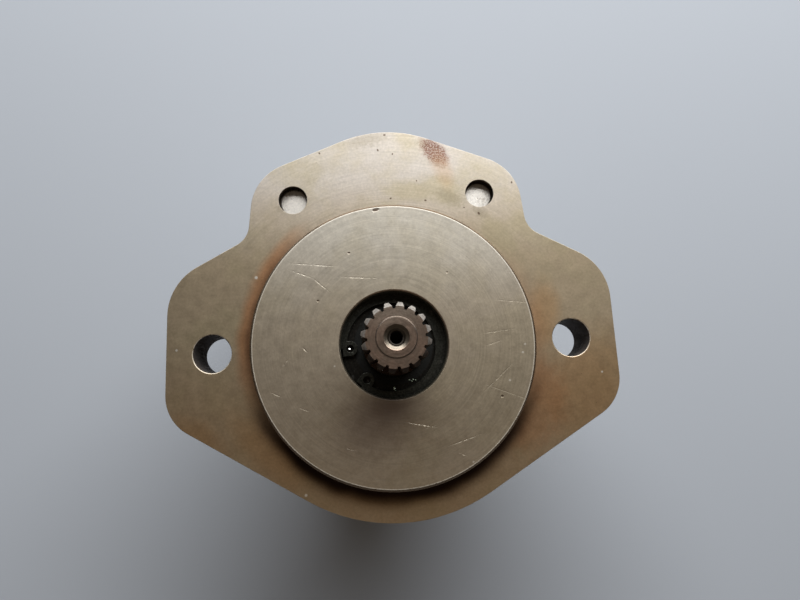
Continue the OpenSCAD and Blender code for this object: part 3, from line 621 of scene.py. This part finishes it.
GEAR_STEEL = (0.55, 0.54, 0.52)
BLOCK_ALUMINIUM = (0.66, 0.65, 0.62)
BRONZE = (0.66, 0.46, 0.22)
SPRING_STEEL = (0.6, 0.6, 0.6)
METAL_STAIN = (0.2, 0.15, 0.1)
SEAL_BLACK = (0.009, 0.009, 0.008)
BACKUP_IVORY = (0.72, 0.68, 0.56)
SEAL_CASE_BLACK = (0.014, 0.0125, 0.010)
RING_BLACK = (0.034, 0.034, 0.028)
RUBBED_BLACK = (0.14, 0.13, 0.12)
ZINC_YELLOW, ZINC_BLUE = (0.80, 0.76, 0.68), (0.74, 0.76, 0.76)
ZINC_TIP = (0.94, 0.885, 0.81)
ZINC_DIRT = (0.22, 0.17, 0.12)
# The oil's pale colours paint the glint on its beads
OIL_GLINT_PALE, OIL_GLINT_DEEP = (0.55, 0.64, 0.50), (0.34, 0.42, 0.31)
OIL_REFRACTION = 1.47
BARE_STEEL = (0.98, 0.97, 0.94)


def plain_metal(name, colour, low=0.35, high=0.5, grain=2.0):
    """A metal with fine grain, slow changes of tone, and thin patches of stain."""
    g = Graph(name)
    fine = g.noise(grain, 5, 0.6)
    broad = g.noise(0.12, 4, 0.6)
    tone = g.shade(colour, g.times(g.contrast(fine, 0.86, 1.12), g.contrast(broad, 0.90, 1.08)))
    tone = g.mix(tone, METAL_STAIN, g.times(0.3, g.step(g.noise(0.25, 5, 0.7), 0.48, 0.66)))
    return g.finish(tone, 1.0, g.around(broad, low, high), g.bump(fine, 0.015))


def plated_material():
    """Zinc plating on the bolts and washers: faintly yellow, with dirt in its pores and clean bolt tips."""
    g = Graph("plated_steel")
    fine = g.noise(1.6, 5, 0.65)
    colour = g.mix(ZINC_YELLOW, ZINC_BLUE, g.step(g.noise(0.15, 3), 0.4, 0.6))
    tips = g.step(g.z, BOLT_TIP - 3, BOLT_TIP - 2)
    colour = g.mix(colour, ZINC_TIP, tips)
    colour = g.shade(colour, g.contrast(fine, 0.84, 1.06))
    pores = g.step(g.noise(1.1, 3, 0.6), 0.62, 0.70)
    dirt = g.times(0.6, g.either(g.step(g.noise(0.22, 5, 0.7), 0.54, 0.68), pores))
    colour = g.mix(colour, ZINC_DIRT, dirt)
    rough = g.lerp(g.around(g.noise(0.5, 3), 0.30, 0.42), 0.40, tips)
    return g.finish(colour, 1.0, rough, g.bump(g.math("SUBTRACT", fine, pores), 0.02))


def rubber(name, colour, rough):
    """Moulded rubber or plastic, slightly uneven in tone and with a fine skin."""
    g = Graph(name)
    fine = g.noise(2.0, 4)
    broad = g.noise(0.3, 3)
    tone = g.shade(colour, g.times(g.contrast(fine, 0.75, 1.3), g.contrast(broad, 0.85, 1.2)))
    uneven = g.around(broad, rough - 0.08, rough + 0.1)
    return g.finish(tone, 0.0, uneven, g.bump(fine, 0.02), Specular_IOR_Level=0.15)


def oiled_black(name, colour, low, high):
    """Blackened steel, wet with oil, with a few paler rubbed places."""
    g = Graph(name)
    r = g.radius()
    fine = g.noise(1.8, 4, 0.6)
    turned = g.rings(r, 1.6)
    tone = g.shade(colour, g.times(g.contrast(fine, 0.6, 1.5), g.contrast(turned, 0.8, 1.25)))
    tone = g.mix(tone, RUBBED_BLACK, g.times(0.4, g.step(g.noise(0.7, 4, 0.7), 0.58, 0.70)))
    return g.finish(tone, 0.85, g.around(g.noise(0.6, 3), low, high), g.bump(fine, 0.03))


def oil_material():
    """Oil with a wet shine; its pale green colour paints the glint on the beads."""
    g = Graph("oil")
    tone = g.mix(OIL_GLINT_PALE, OIL_GLINT_DEEP, g.noise(0.8, 2))
    return g.finish(tone, 0.0, 0.06, IOR=OIL_REFRACTION, Coat_Weight=1.0, Coat_Roughness=0.03)


def fleck_material():
    """A bright chip of bare steel."""
    g = Graph("swarf")
    fine = g.noise(4.0, 3)
    return g.finish(g.shade(BARE_STEEL, g.contrast(fine, 0.85, 1.02)), 1.0, 0.32, g.bump(fine, 0.01))


def build_materials():
    """Makes a material for each of the record's slots, and gives each node its own."""
    made = {
        "flange_iron": flange_material(),
        "housing_aluminium": housing_material(),
        "cover_iron": cover_material(),
        "shaft_steel": shaft_material(),
        "gear_steel": plain_metal("gear_steel", GEAR_STEEL, 0.2, 0.32, 3.0),
        "block_aluminium": plain_metal("block_aluminium", BLOCK_ALUMINIUM),
        "bush_bronze": plain_metal("bush_bronze", BRONZE),
        "seal_rubber": rubber("seal_rubber", SEAL_BLACK, 0.5),
        "backup_plastic": rubber("backup_plastic", BACKUP_IVORY, 0.45),
        "seal_case_steel": oiled_black("seal_case_steel", SEAL_CASE_BLACK, 0.42, 0.55),
        "spring_steel": plain_metal("spring_steel", SPRING_STEEL),
        "black_steel": oiled_black("black_steel", RING_BLACK, 0.32, 0.48),
        "plated_steel": plated_material(),
    }
    for part in frame["record"]["subparts"]:
        data = nodes[part["node"]].data
        data.materials.clear()
        data.materials.append(made[part["material_slot"]])
    return made


materials = build_materials()


# ---------------------------------------------------------------- edges

WELD_REACH = 0.002       # points closer than this become one
FLAT_ANGLE = 0.4         # degrees between faces that count as one flat
EDGE_ANGLE = 32          # degrees from which an edge is broken
BEVEL_SEGMENTS = 2
EDGE_WIDTHS = {"mounting_flange": 0.25, "gear_housing": 0.4, "rear_cover": 0.8, "body_bolts": 0.2,
               "bolt_washers": 0.15, "seal_retaining_ring": 0.12}


def soften(name, width):
    """Breaks a node's edges with a small bevel, and shades it with weighted normals."""
    obj = nodes[name]
    weld = obj.modifiers.new("weld", "WELD")
    weld.merge_threshold = WELD_REACH * MM
    flat = obj.modifiers.new("flat", "DECIMATE")
    flat.decimate_type = "DISSOLVE"
    flat.angle_limit = math.radians(FLAT_ANGLE)
    bevel = obj.modifiers.new("bevel", "BEVEL")
    bevel.width = width * MM
    bevel.segments = BEVEL_SEGMENTS
    bevel.limit_method = "ANGLE"
    bevel.angle_limit = math.radians(EDGE_ANGLE)
    bevel.use_clamp_overlap = True
    normals = obj.modifiers.new("normals", "WEIGHTED_NORMAL")
    normals.keep_sharp = False


for name, width in EDGE_WIDTHS.items():
    soften(name, width)


# ---------------------------------------------------------------- port threads and oil

def new_piece(name, verts, faces, material, smooth=True):
    """Makes a mesh piece from points in millimetres and lets it ride on the housing."""
    mesh = bpy.data.meshes.new(name)
    mesh.from_pydata([tuple(Vector(v) * MM) for v in verts], [], faces)
    mesh.materials.append(material)
    for face in mesh.polygons:
        face.use_smooth = smooth
    obj = bpy.data.objects.new(name, mesh)
    bpy.context.scene.collection.objects.link(obj)
    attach(obj, "housing")
    return obj


THREAD_STEPS = 72        # sections in one turn of a thread
RUN_OUT = 0.5            # turns over which a thread fades away at each end
THREAD_END = 1.0         # from each end of a threaded hole to the thread
THREAD_DEPTH = 0.54      # of the pitch
# The ridge's outline: places along the axis in pitches, and heights in thread depths
THREAD_SECTION = [(-0.45, -0.25), (-0.08, 1.0), (0.08, 1.0), (0.45, -0.25)]
UNF_PITCH = {"inlet_port": INCH / 12, "outlet_port": INCH / 14}
# Beads of oil on the seal, pale to paint their glints: place and half-length
OIL_BEADS = [(4.1, -10.3, 0.24), (4.8, -10.7, 0.20), (5.2, -10.2, 0.26), (5.9, -10.4, 0.18)]


def port_thread(name):
    """The helical ridge of a port's thread, standing inwards from the wall of its hole."""
    mount = PORTS[name]
    radius = mount["dims"]["r_mm"]
    pitch = UNF_PITCH[name]
    depth = THREAD_DEPTH * pitch
    outward = Vector(mount["axis"])
    mouth = Vector(mount["pos_m"]) / MM
    turns = (mount["dims"]["length_mm"] - 2 * THREAD_END) / pitch
    across = Vector((0, 1, 0))
    beside = outward.cross(across)
    count = round(turns * THREAD_STEPS)
    verts = []
    for i in range(count + 1):
        turn = i / THREAD_STEPS
        fade = min(1, turn / RUN_OUT, (turns - turn) / RUN_OUT)
        spoke = across * math.cos(math.tau * turn) + beside * math.sin(math.tau * turn)
        for along, height in THREAD_SECTION:
            reach = radius - depth * (height * fade if height > 0 else height)
            verts.append(mouth - outward * (THREAD_END + pitch * (turn + along)) + spoke * reach)
    n = len(THREAD_SECTION)
    faces = [(i * n + k, i * n + (k + 1) % n, (i + 1) * n + (k + 1) % n, (i + 1) * n + k)
             for i in range(count) for k in range(n)]
    faces += [tuple(range(n)), tuple(count * n + k for k in reversed(range(n)))]
    piece = new_piece(f"{name}_thread", verts, faces, materials["housing_aluminium"], smooth=False)
    face_outwards(piece)


def face_outwards(piece):
    """Turns every face of a closed mesh outwards."""
    shape = bmesh.new()
    shape.from_mesh(piece.data)
    bmesh.ops.recalc_face_normals(shape, faces=shape.faces)
    shape.to_mesh(piece.data)
    shape.free()


def bead(name, at, size, normal, material, seed):
    """A flattened drop or chip lying on a surface: half-lengths size, and normal out of the surface."""
    shape = bmesh.new()
    bmesh.ops.create_icosphere(shape, subdivisions=3, radius=1.0)
    turn = Vector(normal).to_track_quat("Z", "Y").to_matrix()
    verts = []
    for vert in shape.verts:
        p = vert.co
        wobble = 1 + 0.10 * math.sin(3 * p.x + seed) * math.cos(2.3 * p.y + 2 * seed)
        flat = Vector((p.x * size[0], p.y * size[1], p.z * size[2])) * wobble
        verts.append(Vector(at) + turn @ flat)
    faces = [[vert.index for vert in face.verts] for face in shape.faces]
    shape.free()
    piece = new_piece(name, verts, faces, material)


for port in PORTS:
    port_thread(port)


# Old oil, pale to paint its glints, and a steel chip in the seal's recess: place, half-lengths and the
# surface's normal
oil = oil_material()
bead("swarf_in_ring_eye", (-12.95, -0.55, RING_TOP - 0.1), (0.40, 0.36, 0.16), (0.1, 0.42, 0.9),
     fleck_material(), 1.0)
bead("oil_run", (-0.4, -12.6, SEAL_TOP + 0.12), (0.26, 0.62, 0.16), (0, 0.25, 1), oil, 2.0)
for i, (x, y, size) in enumerate(OIL_BEADS):
    bead(f"oil_glint_bead_{i + 1}", (x, y, SEAL_TOP + 0.06), (size, size * 0.8, 0.14), (0, 0.1, 1), oil,
         3.0 + i)


# ---------------------------------------------------------------- floor, light and camera, in metres

FLOOR_Z = cad_box[0][2]
FLOOR_REACH = 1.2
FLOOR_COLOUR = (0.50, 0.53, 0.58)

# Each light's place, size, power and colour. Both look at the origin
LIGHTS = {
    "window": ((0.12, 0.62, 0.52), (1.1, 0.5), 10.8, (0.97, 0.99, 1.0)),
    "fill": ((0.05, -0.45, 1.1), (1.0, 0.6), 0.35, (1.0, 0.72, 0.45)),
}
ROOM_COLOUR = (1.0, 0.85, 0.70)
ROOM_STRENGTH = 0.05

CAMERA_AT = Vector((-4.99, -12.33, 191.4)) * MM
CAMERA_LOOK = Vector((0.0390, 0.1337, -0.9903))
CAMERA_UP = Vector((0.0434, 0.9898, 0.1353))
CAMERA_LENS = 29.1       # in millimetres, as the sensor's width is
CAMERA_SENSOR = 36.0


def build_floor():
    """A plain pale floor under the pump."""
    mesh = bpy.data.meshes.new("floor")
    corners = [(-1, -1), (1, -1), (1, 1), (-1, 1)]
    mesh.from_pydata([(x * FLOOR_REACH, y * FLOOR_REACH, FLOOR_Z) for x, y in corners], [], [(0, 1, 2, 3)])
    floor = bpy.data.objects.new("floor", mesh)
    bpy.context.scene.collection.objects.link(floor)
    g = Graph("floor")
    mesh.materials.append(g.finish(FLOOR_COLOUR, 0.0, 0.75))


def area_light(name, at, size, power, colour):
    """A soft light that looks at the origin."""
    light = bpy.data.lights.new(name, "AREA")
    light.shape = "RECTANGLE"
    light.size, light.size_y = size
    light.energy = power
    light.color = colour
    obj = bpy.data.objects.new(name, light)
    obj.location = at
    obj.rotation_euler = (-Vector(at)).to_track_quat("-Z", "Y").to_euler()
    bpy.context.scene.collection.objects.link(obj)


def build_light():
    """A broad window behind the pump, a warm fill from the front, and a dim warm room."""
    for name, light in LIGHTS.items():
        area_light(name, *light)
    world = bpy.data.worlds.new("room")
    world.use_nodes = True
    background = world.node_tree.nodes["Background"]
    background.inputs["Color"].default_value = rgba(ROOM_COLOUR)
    background.inputs["Strength"].default_value = ROOM_STRENGTH
    bpy.context.scene.world = world


def build_camera():
    """The camera, close above the shaft's end."""
    camera = bpy.data.cameras.new("camera")
    camera.lens = CAMERA_LENS
    camera.sensor_width = CAMERA_SENSOR
    camera.clip_start = 0.005
    camera.clip_end = 10.0
    obj = bpy.data.objects.new("camera", camera)
    back = -CAMERA_LOOK.normalized()
    right = CAMERA_UP.cross(back).normalized()
    up = back.cross(right)
    obj.matrix_world = Matrix.Translation(CAMERA_AT) @ Matrix((right, up, back)).transposed().to_4x4()
    bpy.context.scene.collection.objects.link(obj)
    bpy.context.scene.camera = obj


build_floor()
build_light()
build_camera()
bpy.context.scene.view_settings.view_transform = "Standard"
